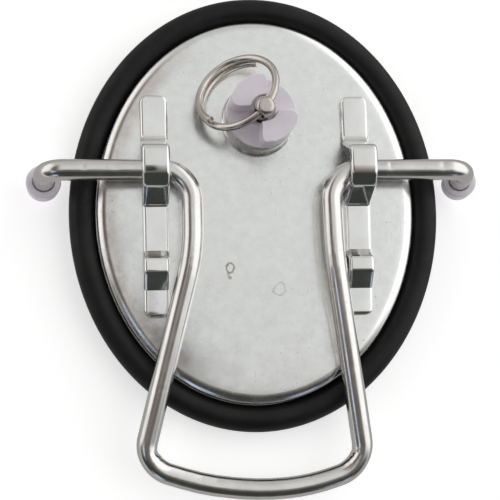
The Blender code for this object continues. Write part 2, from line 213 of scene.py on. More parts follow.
MOULD_PASSES = 4
CHAMBER_R = 4.6 * MM
CHAMBER_TOP = 5.6 * MM
GUIDE_R = 1.85 * MM
BALL_Z = JOINTS["ring_swing"]["pos_m"][2] - PLATE_Z
BALL_R = 2.75 * MM
BALL_FLAT = 2.1 * MM
STEM_R = 1.5 * MM
STEM_STEP_Z = 1.5 * MM
STEM_END_R = 0.9 * MM
STEM_END_Z = -0.6 * MM
CROSS_HOLE_R = 1.65 * MM

# Pull ring: a split ring through the ball, sloping down to the plate.
RING_R = 10.45 * MM
RING_WIRE_R = 0.95 * MM
RING_PITCH = 2.15 * MM
RING_HEADING = radians(48.0)
RING_SLOPE = radians(41.5)
RING_START = radians(185.0)
RING_END = radians(-340.0)

# What the valve holds. Heights are over the plate.
SOFT_EDGE = 0.1 * MM
GASKET_R = 7.4 * MM
GASKET_Z = 7.0 * MM
GASKET_WIRE_R = 0.55 * MM
SPRING_R = 3.2 * MM
SPRING_WIRE_R = 0.3 * MM
SPRING_TURNS = 4
SPRING_LOW = 0.2 * MM
SPRING_HIGH = 4.3 * MM
WASHER_IN_R = 1.9 * MM
WASHER_OUT_R = 4.2 * MM
WASHER_LOW = 4.85 * MM
WASHER_HIGH = 5.35 * MM
POPPET_R = 4.1 * MM
POPPET_TOP = -0.4 * MM
POPPET_BOTTOM = -2.6 * MM
POPPET_HUB_R = 2.2 * MM
POPPET_HUB_TOP = 1.2 * MM
POPPET_BORE_R = STEM_END_R + GAP
POPPET_BORE_Z = STEM_END_Z - GAP
POPPET_CUP_R = 3.5 * MM
POPPET_CUP_Z = -1.6 * MM
PAD_R = 3.2 * MM
PAD_TOP = -1.9 * MM
PAD_BOTTOM = -3.2 * MM
SEAT_R = 4.3 * MM
SEAT_BORE_R = 1.8 * MM
SEAT_LIP_R = 2.5 * MM
SEAT_LIP_Z = PAD_BOTTOM - GAP
SEAT_TOP = -3.9 * MM

# Dried drops on the plate: where, how big, how strong.
STAINS = (
    (LID + Vector((-7.4, -15.2, 10.0)) * MM, 1.0 * MM, 0.85),
    (LID + Vector((5.2, -20.4, 10.0)) * MM, 1.35 * MM, 0.3),
    (LID + Vector((-7.3, -17.6, 10.0)) * MM, 0.1 * MM, 0.7),
)


# ---------------------------------------------------------------- shapes

def arc_points(centre, radius, start, end, steps):
    """Points on a circle in a profile's plane, as (across, up) pairs."""
    points = []
    for step in range(steps + 1):
        angle = start + (end - start) * step / steps
        points.append((centre[0] + radius * cos(angle), centre[1] + radius * sin(angle)))
    return points


def rounded_path(corners, step_angle, closed=False):
    """A path through (point, radius) corners, with an arc at each corner that has a radius."""
    if closed:
        corners = [corners[-1], *corners, corners[0]]
    points = [] if closed else [corners[0][0]]
    for (before, _), (corner, radius), (after, _) in zip(corners, corners[1:], corners[2:]):
        if not radius:
            points.append(corner)
            continue
        into = (before - corner).normalized()
        out = (after - corner).normalized()
        half = acos(max(-1.0, min(1.0, into.dot(out)))) / 2
        centre = corner + (into + out).normalized() * (radius / sin(half))
        first = corner + into * (radius / tan(half)) - centre
        last = corner + out * (radius / tan(half)) - centre
        turn = pi - 2 * half
        count = max(2, ceil(turn / step_angle))
        for step in range(count + 1):
            part = step / count
            blend = sin((1 - part) * turn) * first + sin(part * turn) * last
            points.append(centre + blend / sin(turn))
    if not closed:
        points.append(corners[-1][0])
    return points


def rounded_outline(corners, step_angle=radians(15), closed=True):
    """A profile's (across, up) points, from (across, up, radius) corners."""
    path = rounded_path([(Vector((x, y, 0)), r) for x, y, r in corners], step_angle, closed)
    return [(point.x, point.y) for point in path]


def softened(profile, radius, closed=True):
    """A turned profile with its corners rounded, but for those on the axis."""
    corners = [(across, up, radius if across else 0) for across, up in profile]
    return rounded_outline(corners, closed=closed)


def spaced(points, spacing):
    """The same path, with points no further apart than the spacing."""
    result = [points[0]]
    for start, end in zip(points, points[1:]):
        count = max(1, ceil((end - start).length / spacing))
        result += [start.lerp(end, step / count) for step in range(1, count + 1)]
    return result


def oval_points(offset, steps=OVAL_STEPS):
    """The seal's oval about the lid's centre, moved outwards along its normals."""
    points = []
    for step in range(steps):
        angle = 2 * pi * step / steps
        normal = Vector((cos(angle) / OVAL_A, sin(angle) / OVAL_B)).normalized()
        points.append(Vector((OVAL_A * cos(angle), OVAL_B * sin(angle))) + normal * offset)
    return points


def new_object(name, shape, material):
    """An object from a bmesh, shaded smooth but for its sharp edges."""
    bmesh.ops.recalc_face_normals(shape, faces=shape.faces)
    mesh = bpy.data.meshes.new(name)
    shape.to_mesh(mesh)
    shape.free()
    mesh.shade_smooth()
    mesh.set_sharp_from_angle(angle=SHARP_TURN)
    mesh.materials.append(material)
    obj = bpy.data.objects.new(name, mesh)
    bpy.context.scene.collection.objects.link(obj)
    return obj


def bridge(shape, rings, closed_along=False, caps=True):
    """Quads between neighbouring rings of points, with a cap on each end where they stay open."""
    loops = [[shape.verts.new(point) for point in ring] for ring in rings]
    pairs = list(zip(loops, loops[1:]))
    if closed_along:
        pairs.append((loops[-1], loops[0]))
    for one, two in pairs:
        for index in range(len(one)):
            after = (index + 1) % len(one)
            shape.faces.new((one[index], one[after], two[after], two[index]))
    if caps and not closed_along:
        shape.faces.new(reversed(loops[0]))
        shape.faces.new(loops[-1])


def frames_along(path, up):
    """A (side, up) pair of directions at each point of a path, turned along it without twist."""
    pairs = []
    for index in range(len(path)):
        ahead = (path[min(index + 1, len(path) - 1)] - path[max(index - 1, 0)]).normalized()
        up = (up - ahead * up.dot(ahead)).normalized()
        pairs.append((ahead.cross(up), up))
    return pairs


def round_wire(name, path, radius, sides, up, material, shaping=None):
    """A round wire with softened ends. Its shaping is a share of the radius at (index, outward)."""
    shape = bmesh.new()
    rings = []
    for index, (point, (side, top)) in enumerate(zip(path, frames_along(path, up))):
        ring = []
        for step in range(sides):
            angle = 2 * pi * step / sides
            outward = side * cos(angle) + top * sin(angle)
            ring.append(point + outward * radius * (shaping(index, outward) if shaping else 1))
        rings.append(ring)
    edge = radius * 0.12
    for end, inner in ((0, 1), (-1, -2)):
        outward = (path[end] - path[inner]).normalized()
        tip = [path[end] + (p - path[end]) * 0.86 + outward * edge for p in rings[end]]
        if end == 0:
            rings.insert(0, tip)
        else:
            rings.append(tip)
    bridge(shape, rings)
    return new_object(name, shape, material)


def lathe(name, profile, material, place=Matrix.Identity(4), steps=96, closed=True):
    """A turned piece. A closed profile makes a ring; an open one starts and ends on the axis."""
    shape = bmesh.new()
    core = profile if closed else profile[1:-1]
    loops = []
    for radius, height in core:
        turn = [2 * pi * step / steps for step in range(steps)]
        loops.append([shape.verts.new((radius * cos(a), radius * sin(a), height)) for a in turn])
    pairs = list(zip(loops, loops[1:]))
    if closed:
        pairs.append((loops[-1], loops[0]))
    for one, two in pairs:
        for index in range(steps):
            after = (index + 1) % steps
            shape.faces.new((one[index], one[after], two[after], two[index]))
    if not closed:
        for tip, loop in ((profile[0], loops[0]), (profile[-1], loops[-1])):
            peak = shape.verts.new((0, 0, tip[1]))
            for index in range(steps):
                shape.faces.new((peak, loop[index], loop[(index + 1) % steps]))
    bmesh.ops.transform(shape, matrix=place, verts=shape.verts)
    return new_object(name, shape, material)


def evaluated_copy(obj):
    """Replaces an object's mesh by what its modifiers make of it."""
    bpy.context.view_layer.update()
    graph = bpy.context.evaluated_depsgraph_get()
    mesh = bpy.data.meshes.new_from_object(obj.evaluated_get(graph))
    obj.modifiers.clear()
    obj.data = mesh


def combine(obj, other, operation):
    """Cuts the other solid out of the object, or joins it on, and removes the other."""
    modifier = obj.modifiers.new("combine", "BOOLEAN")
    modifier.operation = operation
    modifier.solver = "EXACT"
    modifier.object = other
    evaluated_copy(obj)
    bpy.data.objects.remove(other)


def moulded(obj, voxel, passes):
    """Rounds every edge of a solid, as a mould does: a fine remesh, then smoothing."""
    remesh = obj.modifiers.new("remesh", "REMESH")
    remesh.mode = "VOXEL"
    remesh.voxel_size = voxel
    smooth = obj.modifiers.new("soften", "SMOOTH")
    smooth.factor = 0.5
    smooth.iterations = passes
    evaluated_copy(obj)
    obj.data.shade_smooth()


def finish_piece(obj, body, slot, *nodes):
    """Puts a piece on its body and takes the CAD nodes' place. The slot is not used."""
    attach(obj, body)
    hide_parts(*nodes)


# ---------------------------------------------------------------- materials

WARM_STAIN = (0.30, 0.22, 0.16)
PLATE_DARK = (0.81, 0.815, 0.805)
PLATE_LIGHT = (0.87, 0.875, 0.865)
SMUDGE = (0.72, 0.72, 0.72)
SPECK = (0.34, 0.29, 0.25)
RUST = (0.46, 0.38, 0.31)
# The brown of a painted reflection inside the plate's rim on the left.
RIM_REFLECTION_BROWN = (0.47, 0.38, 0.33)
DRIED = (0.30, 0.25, 0.21)
RUBBER_DARK = (0.0075, 0.0075, 0.008)
RUBBER_LIGHT = (0.014, 0.014, 0.0135)
DUST = (0.10, 0.09, 0.08)

# Fine scratches: the turn of each set, and where its noise starts.
SCRATCHES = (
    (0.5, 0.0),
    (2.0, 3.7),
    (1.3, 7.1),
)


def add_node(tree, kind, inputs=(), **settings):
    """A node with its settings. Each of its inputs takes a link from a socket, or a value."""
    made = tree.nodes.new(kind)
    for name, value in settings.items():
        setattr(made, name, value)
    for key, value in dict(inputs).items():
        if isinstance(value, bpy.types.NodeSocket):
            tree.links.new(value, made.inputs[key])
        else:
            made.inputs[key].default_value = value
    return made


def maths(tree, operation, first, second=0.0):
    return add_node(tree, "ShaderNodeMath", {0: first, 1: second}, operation=operation).outputs[0]


def remap(tree, value, low, high, out_low=0.0, out_high=1.0):
    """The value's smooth step from low to high, as out_low to out_high."""
    inputs = {"Value": value, "From Min": low, "From Max": high, "To Min": out_low, "To Max": out_high}
    made = add_node(tree, "ShaderNodeMapRange", inputs, interpolation_type="SMOOTHSTEP")
    return made.outputs["Result"]


def blend_colours(tree, share, first, second):
    """The first colour, with that share of the second. Each is a socket or red, green, blue."""
    made = add_node(tree, "ShaderNodeMix", {"Factor": share}, data_type="RGBA")
    for index, colour in ((6, first), (7, second)):
        if isinstance(colour, bpy.types.NodeSocket):
            tree.links.new(colour, made.inputs[index])
        else:
            made.inputs[index].default_value = (*colour, 1.0)
    return made.outputs[2]


def noise_value(tree, vector, scale, detail=3.0, roughness=0.55, stretch=None):
    """Noise from 0 to 1, with the scale in waves a metre, stretched by dividing each direction."""
    if stretch:
        inputs = {"Vector": vector, "Scale": stretch}
        vector = add_node(tree, "ShaderNodeMapping", inputs).outputs["Vector"]
    inputs = {"Vector": vector, "Scale": scale, "Detail": detail, "Roughness": roughness}
    return add_node(tree, "ShaderNodeTexNoise", inputs).outputs["Fac"]


def new_material(name):
    """A material's tree, its Principled shader and its object coordinates."""
    material = bpy.data.materials.new(name)
    material.use_nodes = True
    tree = material.node_tree
    shader = tree.nodes["Principled BSDF"]
    place = add_node(tree, "ShaderNodeTexCoord").outputs["Object"]
    return material, tree, shader, place


def add_bump(tree, shader, height, strength, distance):
    """Gives the shader a surface relief from the height's value."""
    inputs = {"Height": height, "Strength": strength, "Distance": distance}
    bump = add_node(tree, "ShaderNodeBump", inputs)
    tree.links.new(bump.outputs["Normal"], shader.inputs["Normal"])


def steel(name, light, dark, rough, speckle, grain=(1, 1, 1)):
    """Polished stainless steel: soft mottling, fine warm pits and drawn lines."""
    material, tree, shader, place = new_material(name)
    mottle = noise_value(tree, place, 90, 4)
    colour = blend_colours(tree, remap(tree, mottle, 0.35, 0.7), dark, light)
    pits = remap(tree, noise_value(tree, place, 1500, 2), 0.66, 0.74)
    colour = blend_colours(tree, maths(tree, "MULTIPLY", pits, speckle), colour, WARM_STAIN)
    lines = noise_value(tree, place, 900, 2, 0.5, grain)
    smear = remap(tree, noise_value(tree, place, 160, 4), 0.3, 0.75, rough[0], rough[1])
    tree.links.new(colour, shader.inputs["Base Color"])
    tree.links.new(smear, shader.inputs["Roughness"])
    shader.inputs["Metallic"].default_value = 1.0
    height = maths(tree, "ADD", maths(tree, "MULTIPLY", lines, 0.4), maths(tree, "MULTIPLY", pits, -0.6))
    add_bump(tree, shader, height, 0.10, 0.04 * MM)
    return material


def plate_steel():
    """Pressed sheet steel that has been used: satin, with specks, smudges, rust, dried drops and a
    painted brown reflection on the left rim.
    """
    material, tree, shader, place = new_material("plate_steel_look")
    mottle = remap(tree, noise_value(tree, place, 420, 5, 0.7), 0.3, 0.7)
    colour = blend_colours(tree, mottle, PLATE_DARK, PLATE_LIGHT)
    smudge = remap(tree, noise_value(tree, place, 55, 6, 0.7), 0.45, 0.75)
    colour = blend_colours(tree, maths(tree, "MULTIPLY", smudge, 0.16), colour, SMUDGE)
    specks = remap(tree, noise_value(tree, place, 1700, 2), 0.67, 0.73)
    crowded = remap(tree, noise_value(tree, place, 48, 3), 0.42, 0.68, 0.12, 0.75)
    colour = blend_colours(tree, maths(tree, "MULTIPLY", specks, crowded), colour, SPECK)
    rust = remap(tree, noise_value(tree, place, 30, 6, 0.75), 0.60, 0.80)
    colour = blend_colours(tree, maths(tree, "MULTIPLY", rust, 0.30), colour, RUST)
    # Painted reflection: a patchy brown band just inside the rim on the left, where the shoulder would
    # mirror the dark room.
    centred = add_node(tree, "ShaderNodeVectorMath", {0: place, 1: LID}, operation="SUBTRACT")
    inputs = {0: centred.outputs["Vector"], 1: (1 / OVAL_A, 1 / OVAL_B, 0)}
    share = add_node(tree, "ShaderNodeVectorMath", inputs, operation="MULTIPLY").outputs["Vector"]
    reach = add_node(tree, "ShaderNodeVectorMath", {0: share}, operation="LENGTH").outputs["Value"]
    side = add_node(tree, "ShaderNodeSeparateXYZ", {"Vector": share}).outputs["X"]
    reflection_band = maths(tree, "MULTIPLY", remap(tree, reach, 0.77, 0.85), remap(tree, reach, 0.91, 0.87))
    reflection_band = maths(tree, "MULTIPLY", reflection_band, remap(tree, side, -0.30, -0.62))
    reflection_patches = remap(tree, noise_value(tree, place, 110, 5, 0.7), 0.30, 0.62, 0.15, 0.55)
    colour = blend_colours(tree, maths(tree, "MULTIPLY", reflection_band, reflection_patches), colour, RIM_REFLECTION_BROWN)
    for spot, size, strength in STAINS:
        away = add_node(tree, "ShaderNodeVectorMath", {0: place, 1: spot}, operation="DISTANCE")
        wobble = maths(tree, "SUBTRACT", noise_value(tree, place, 430, 3), 0.5)
        wobble = maths(tree, "MULTIPLY", wobble, 2.6 * MM)
        from_rim = maths(tree, "SUBTRACT", maths(tree, "ADD", away.outputs["Value"], wobble), size)
        edge = remap(tree, maths(tree, "ABSOLUTE", from_rim), 0.45 * MM, 0.05 * MM, 0.0, strength)
        colour = blend_colours(tree, edge, colour, DRIED)
    scratches = 0.0
    for turn, seed in SCRATCHES:
        inputs = {"Vector": place, "Location": (seed, seed, 0), "Rotation": (0, 0, turn)}
        mapped = add_node(tree, "ShaderNodeMapping", {**inputs, "Scale": (1, 0.06, 1)})
        line = noise_value(tree, mapped.outputs["Vector"], 1300, 1)
        mask = remap(tree, noise_value(tree, place, 70 + 9 * seed, 2), 0.50, 0.62)
        fine = maths(tree, "MULTIPLY", remap(tree, line, 0.69, 0.73), mask)
        scratches = maths(tree, "MAXIMUM", fine, scratches)
    smear = remap(tree, noise_value(tree, place, 160, 5, 0.65), 0.3, 0.75, 0.17, 0.30)
    tree.links.new(colour, shader.inputs["Base Color"])
    tree.links.new(smear, shader.inputs["Roughness"])
    shader.inputs["Metallic"].default_value = 1.0
    pebble = noise_value(tree, place, 620, 4, 0.6)
    height = maths(tree, "MULTIPLY", maths(tree, "SUBTRACT", pebble, specks), 0.5)
    add_bump(tree, shader, maths(tree, "SUBTRACT", height, scratches), 0.20, 0.04 * MM)
    return material


def rubber():
    """Matte black rubber with a faint bloom and specks of dust."""
    material, tree, shader, place = new_material("black_rubber")
    bloom = remap(tree, noise_value(tree, place, 120, 4, 0.6), 0.35, 0.75)
    colour = blend_colours(tree, bloom, RUBBER_DARK, RUBBER_LIGHT)
    dust = remap(tree, noise_value(tree, place, 1300, 2), 0.72, 0.78)
    colour = blend_colours(tree, maths(tree, "MULTIPLY", dust, 0.35), colour, DUST)
    grain = noise_value(tree, place, 2600, 3)
    tree.links.new(colour, shader.inputs["Base Color"])
    rough = remap(tree, noise_value(tree, place, 300, 3), 0.3, 0.7, 0.40, 0.52)
    tree.links.new(rough, shader.inputs["Roughness"])
    shader.inputs["Specular IOR Level"].default_value = 0.25
    add_bump(tree, shader, grain, 0.25, 0.05 * MM)
    return material


def plastic(name, light, dark, rough):
    """Moulded matte plastic: a soft mottle and a fine spark-eroded grain."""
    material, tree, shader, place = new_material(name)
    mottle = remap(tree, noise_value(tree, place, 260, 3), 0.3, 0.7)
    tree.links.new(blend_colours(tree, mottle, dark, light), shader.inputs["Base Color"])
    gloss = remap(tree, noise_value(tree, place, 500, 2), 0.3, 0.7, rough - 0.06, rough + 0.06)
    tree.links.new(gloss, shader.inputs["Roughness"])
    shader.inputs["Subsurface Weight"].default_value = 0.15
    shader.inputs["Subsurface Radius"].default_value = (0.0012, 0.0010, 0.0012)
    shader.inputs["Subsurface Scale"].default_value = 0.6
    grain = noise_value(tree, place, 4200, 3)
    add_bump(tree, shader, grain, 0.18, 0.04 * MM)
    return material


# ---------------------------------------------------------------- pieces

def droop(x, y):
    """How far the plate's edge hangs: most to the left and a little towards the front."""
    toward = Vector((x, y)).normalized().dot(Vector((-0.93, -0.37)))
    return DROOP * (0.12 + 0.88 * max(0.0, toward) ** 1.5)


def plate_height(x, y, depth):
    """The plate's top at a place that far inside the shoulder: its drooping edge, faint waves."""
    share = max(0.0, 1 - depth / DROOP_W)
    wave = noise.noise(Vector((x / WAVE_LENGTH, y / WAVE_LENGTH, 0.3))) * PLATE_WAVE
    return PLATE_Z - PLATE_WAVE - droop(x, y) * share * share + wave * min(1.0, depth / DROOP_W)


def make_pan(material):
    """The lid's pressed pan, one closed sheet with a rounded rim, and a hole for the valve."""
    wall = -(SEAL_R + GAP)
    turn = pi / 2 - SHOULDER_TURN
    inset = SHOULDER_R - BROW_R
    shoulder = (wall - BROW_R - inset * cos(turn), PLATE_Z - PLATE_WAVE - SHOULDER_R)
    brow = (wall - BROW_R, shoulder[1] + inset * sin(turn))
    shape = bmesh.new()
    rings = []
    edge = oval_points(shoulder[0])
    reach = min(OVAL_A, OVAL_B) + shoulder[0]
    for step in range(1, PLATE_STEPS):
        share = step / PLATE_STEPS
        depth = reach * (1 - share)
        rings.append([(p.x * share, p.y * share, plate_height(p.x * share, p.y * share, depth))
                      for p in edge])
    profile = arc_points(shoulder, SHOULDER_R, pi / 2, turn, 14)[1:]
    profile += arc_points(brow, BROW_R, turn, 0, 8)[1:]
    profile += arc_points((wall + FOOT_FILLET_R, SHEET + FOOT_FILLET_R), FOOT_FILLET_R, pi, 1.5 * pi, 6)
    profile += arc_points((FLANGE_REACH - SHEET / 2, SHEET / 2), SHEET / 2, pi / 2, -pi / 2, 10)
    under_r = FOOT_FILLET_R + SHEET
    profile += arc_points((wall + FOOT_FILLET_R, under_r), under_r, 1.5 * pi, pi, 6)
    corner = (wall - SHEET - UNDER_BROW_R, brow[1] - SHEET / 2)
    profile += arc_points(corner, UNDER_BROW_R, 0, turn, 3)
    profile += arc_points(shoulder, SHOULDER_R - SHEET, turn, pi / 2, 8)
    for offset, height in profile:
        lowered = 1.0 if height > brow[1] - SHEET else 0.0
        rings.append([(*p, height - lowered * droop(*p)) for p in oval_points(offset)])
    under = oval_points(shoulder[0])
    for share in (0.66, 0.33):
        rings.append([(p.x * share, p.y * share, PLATE_Z - SHEET) for p in under])
    bridge(shape, rings)
    bmesh.ops.translate(shape, verts=shape.verts, vec=LID)
    pan = new_object("lid_pan", shape, material)
    hole_r = COLLAR_NECK_R + GAP
    tool = [(0, SHEET), (hole_r, SHEET), (hole_r, -3 * SHEET), (0, -3 * SHEET)]
    hole = lathe("valve_hole", tool, material, Matrix.Translation(VALVE), closed=False)
    combine(pan, hole, "DIFFERENCE")
    pan.data.set_sharp_from_angle(angle=SHARP_TURN)
    finish_piece(pan, "lid", "plate_steel", "lid_shell")


def make_seal(material):
    """The O-ring, with the faint flash line that its mould leaves inside and outside."""
    shape = bmesh.new()
    section = []
    for step in range(SEAL_SIDES):
        angle = 2 * pi * step / SEAL_SIDES
        near = min(abs(sin(angle)) / FLASH_SPREAD, 1.0)
        radius = SEAL_R - FLASH_H * near
        section.append((radius * cos(angle), SEAL_Z + radius * sin(angle)))
    rings = [[(*point, height) for point in oval_points(offset)] for offset, height in section]
    bridge(shape, rings, closed_along=True)
    bmesh.ops.translate(shape, verts=shape.verts, vec=LID)
    finish_piece(new_object("o_ring", shape, material), "lid", "seal_rubber", "lid_seal")


def strip_section(left, right, thick):
    """A strip's outline across its run, with rolled edges that are rounder on top."""
    up = thick / 2
    top = min(STRIP_EDGE_R, thick * 0.62)
    low = min(STRIP_UNDER_R, thick * 0.3)
    corners = [(right, up, top), (left, up, top), (left, -up, low), (right, -up, low)]
    return rounded_outline(corners, radians(12))


def shrink(distance, radius):
    """How much narrower a side is at a distance from an end that is rounded by that radius."""
    if distance >= radius:
        return 0.0
    return radius - sqrt(radius * radius - (radius - distance) ** 2)


def make_strip(node, material):
    """One bent strip with rolled edges and round corners, in its CAD node's place."""
    _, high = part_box(node)
    middle = high.x - STRIP_W / 2
    corners = [(Vector((middle, LID.y + y, PLATE_Z + z)), r) for y, z, r in STRIP_PATH]
    path = rounded_path(corners, radians(5))
    ends = [STRIP_CORNER_R * (1 - cos(pi / 2 * step / 12)) for step in range(12)]
    first = [path[0].lerp(path[1], d / (path[1] - path[0]).length) for d in ends]
    last = [path[-1].lerp(path[-2], d / (path[-2] - path[-1]).length) for d in reversed(ends)]
    path = first + spaced(path[1:-1], PATH_STEP) + last
    run = [0.0]
    for start, end in zip(path, path[1:]):
        run.append(run[-1] + (end - start).length)
    shape = bmesh.new()
    rings = []
    for point, along, (_, up) in zip(path, run, frames_along(path, Vector((0, 0, 1)))):
        from_end = min(along, run[-1] - along)
        narrow = shrink(from_end, STRIP_CORNER_R)
        thick = STRIP_T - 1.2 * shrink(from_end, STRIP_EDGE_R)
        flare = STRIP_FLARE * max(0.0, point.y - LID.y - STRIP_FLARE_Y)
        section = strip_section(narrow - STRIP_W / 2 - flare, STRIP_W / 2 - narrow, thick)
        rings.append([point + Vector((u, 0, 0)) + up * v for u, v in section])
    bridge(shape, rings)
    strip = new_object(node.replace("bracket", "strip"), shape, material)
    finish_piece(strip, "lid", "bracket_steel", node)


def leg_end(side):
    """Where the bail's wire ends, inside a foot, in the bail's own frame."""
    drop = LEG_LENGTH * cos(LEG_SPLAY)
    x = side * (ELBOW_X + LEG_LENGTH * sin(LEG_SPLAY))
    return Vector((x, -drop * sin(LEG_LEAN), -drop * cos(LEG_LEAN)))


def dents(path, marks):
    """The wire's shaping for its marks: where, which way its side faces, length, spread, depth."""
    places = []
    for place, facing, length, spread, depth in marks:
        index = min(range(len(path)), key=lambda step: (path[step] - place).length)
        places.append((path[index], facing.normalized(), length, spread, depth))

    def shaping(index, outward):
        share = 1.0
        for place, facing, length, spread, depth in places:
            along = (path[index] - place).length / length
            around = outward.angle(facing) / spread
            share -= depth * exp(-along * along - around * around)
        return share

    return shaping


def bail_marks():
    """Creases inside the handle's two bends, and a few nicks on its arms, in the bail's frame."""
    marks = []
    for corner, inside in CREASED_BENDS:
        along = Vector((-inside.y, inside.x, 0))
        if inside.x < 0:
            along.negate()
        for step, length, depth in CREASES:
            marks.append((corner + along * step, inside, length, CREASE_SPREAD, depth))
    for place, length, depth in NICKS:
        marks.append((place, NICK_FACING, length, NICK_SPREAD, depth))
    return marks


def make_bail(material):
    """The handle's bent wire, with its creases and nicks."""
    corners = [(leg_end(-1), 0), (Vector((-ELBOW_X, 0, 0)), ELBOW_R)]
    corners += [(Vector((x, y, z)), radius) for x, y, z, radius in HANDLE_PATH]
    corners += [(Vector((ELBOW_X, 0, 0)), ELBOW_R), (leg_end(1), 0)]
    path = spaced(rounded_path(corners, radians(4)), PATH_STEP)
    shaping = dents(path, bail_marks())
    bail = round_wire("bail_wire", path, WIRE_R, WIRE_SIDES, Vector((0, 1, 0)), material, shaping)
    bail.data.transform(Matrix.Translation(PIVOT))
    finish_piece(bail, "handle", "bail_steel", "bail")


def make_foot(node, side, material):
    """A cap on a leg, with a soft rim and a rounded sole."""
    bore = WIRE_R + 0.1 * MM
    low = -LEG_LENGTH - GAP
    corners = [
        (0, low, 0),
        (bore, low, 0),
        (bore, -FOOT_TOP, 0.3 * MM),
        (FOOT_RIM_R, -FOOT_TOP, 0.55 * MM),
        (FOOT_RIM_R, -FOOT_TOP - FOOT_RIM_H, 0.4 * MM),
        (FOOT_R, -FOOT_TOP - FOOT_RIM_H - 0.1 * MM, 0.2 * MM),
        (FOOT_R, -FOOT_BOTTOM, 1.1 * MM),
        (0, -FOOT_BOTTOM, 0),
    ]
    profile = rounded_outline(corners, closed=False)
    lean = Matrix.Rotation(-LEG_LEAN, 4, "X") @ Matrix.Rotation(-side * LEG_SPLAY, 4, "Y")
    hang = Matrix.Translation(PIVOT + Vector((side * ELBOW_X, 0, 0))) @ lean
    foot = lathe(node.replace("foot", "cap"), profile, material, hang, 64, closed=False)
    finish_piece(foot, "handle", "lilac_plastic", node)


def make_collar(material):
    """The welded collar: a lip on the plate, a waisted wall and a thin rolled top."""
    corners = [
        (COLLAR_RECESS_R, COLLAR_TOP, 0.15 * MM),
        (COLLAR_R, COLLAR_TOP, 0.3 * MM),
        (COLLAR_R, 1.1 * MM, 0.35 * MM),
        (COLLAR_LIP_R, 0.8 * MM, 0.2 * MM),
        (COLLAR_LIP_R, WELD_GAP, 0.1 * MM),
        (COLLAR_NECK_R, WELD_GAP, 0.05 * MM),
        (COLLAR_NECK_R, COLLAR_BOTTOM, 0.3 * MM),
        (COLLAR_BORE_R, COLLAR_BOTTOM, 0.3 * MM),
        (COLLAR_BORE_R, COLLAR_RECESS_Z, 0.1 * MM),
        (COLLAR_RECESS_R, COLLAR_RECESS_Z, 0.1 * MM),
    ]
    profile = rounded_outline(corners)
    collar = lathe("valve_bung", profile, material, Matrix.Translation(VALVE), 128)
    finish_piece(collar, "lid", "plate_steel", "valve_collar")


def ear_prism(side, material):
    """One standing ear of the valve's head: a quarter ring with round corners."""
    inset = EAR_EDGE / 2
    outer = HEAD_R - EAR_INSET
    inner = WELL_R + EAR_INSET
    corners = [(Vector((EAR_EDGE, outer * 0.985, 0)), EAR_TIP_R)]
    for degree in range(106, 162, 4):
        corners.append((Vector((cos(radians(degree)), sin(radians(degree)), 0)) * outer, 0))
    corners.append((Vector((-outer * 0.985, inset, 0)), EAR_HEEL_R))
    for degree in range(172, 82, -6):
        angle = radians(degree)
        corners.append((Vector((inner * cos(angle), max(inset, inner * sin(angle)), 0)), 0))
    corners.append((Vector((EAR_EDGE, inner * 1.02, 0)), 0))
    outline = rounded_path(corners, radians(12), closed=True)
    shape = bmesh.new()
    heights = (LOW_TOP - EAR_SUNK, EAR_TOP)
    bridge(shape, [[point + Vector((0, 0, height)) for point in outline] for height in heights])
    if side < 0:
        bmesh.ops.rotate(shape, verts=shape.verts, matrix=Matrix.Rotation(pi, 3, "Z"))
    bmesh.ops.translate(shape, verts=shape.verts, vec=VALVE)
    return new_object("ear", shape, material)


def make_valve_body(material):
    """The moulded valve body: a turned core with two ears standing on its head."""
    profile = [
        (WELL_R, LOW_TOP),
        (HEAD_R, LOW_TOP),
        (HEAD_R, HEAD_Z),
        (SHANK_R, HEAD_Z),
        (SHANK_R, BODY_BOTTOM),
        (CHAMBER_R, BODY_BOTTOM),
        (CHAMBER_R, CHAMBER_TOP),
        (GUIDE_R, CHAMBER_TOP),
        (GUIDE_R, WELL_Z),
        (WELL_R, WELL_Z),
    ]
    body = lathe("valve_cap", profile, material, Matrix.Translation(VALVE), 96)
    for side in (1, -1):
        combine(body, ear_prism(side, material), "UNION")
    moulded(body, MOULD_GRID, MOULD_PASSES)
    finish_piece(body, "lid", "lilac_plastic", "valve_body")


def make_stem(material):
    """The stem and its ball head, flat on top, with the ring's hole across it."""
    flat_angle = asin(BALL_FLAT / BALL_R)
    neck_angle = -acos(STEM_R / BALL_R)
    profile = [(0, BALL_Z + BALL_FLAT)]
    flat_r = BALL_R * cos(flat_angle) - 0.5 * MM
    profile += [(flat_r, BALL_Z + BALL_FLAT), (flat_r + 0.35 * MM, BALL_Z + BALL_FLAT - 0.05 * MM)]
    profile += arc_points((0, BALL_Z), BALL_R, flat_angle - radians(7), neck_angle, 18)
    profile += [(STEM_R, STEM_STEP_Z), (STEM_END_R, STEM_STEP_Z)]
    profile += [(STEM_END_R, STEM_END_Z), (0, STEM_END_Z)]
    stem = lathe("ball_stem", profile, material, Matrix.Translation(VALVE), 72, closed=False)
    reach = 2 * BALL_R
    tool = [(0, reach), (CROSS_HOLE_R, reach), (CROSS_HOLE_R, -reach), (0, -reach)]
    across = Matrix.Rotation(RING_HEADING, 4, "Z") @ Matrix.Rotation(pi / 2, 4, "Y")
    ball = Matrix.Translation(VALVE + Vector((0, 0, BALL_Z)))
    combine(stem, lathe("drill", tool, material, ball @ across, 48, closed=False), "DIFFERENCE")
    stem.data.set_sharp_from_angle(angle=radians(32))
    finish_piece(stem, "stem", "ring_steel", "valve_stem")


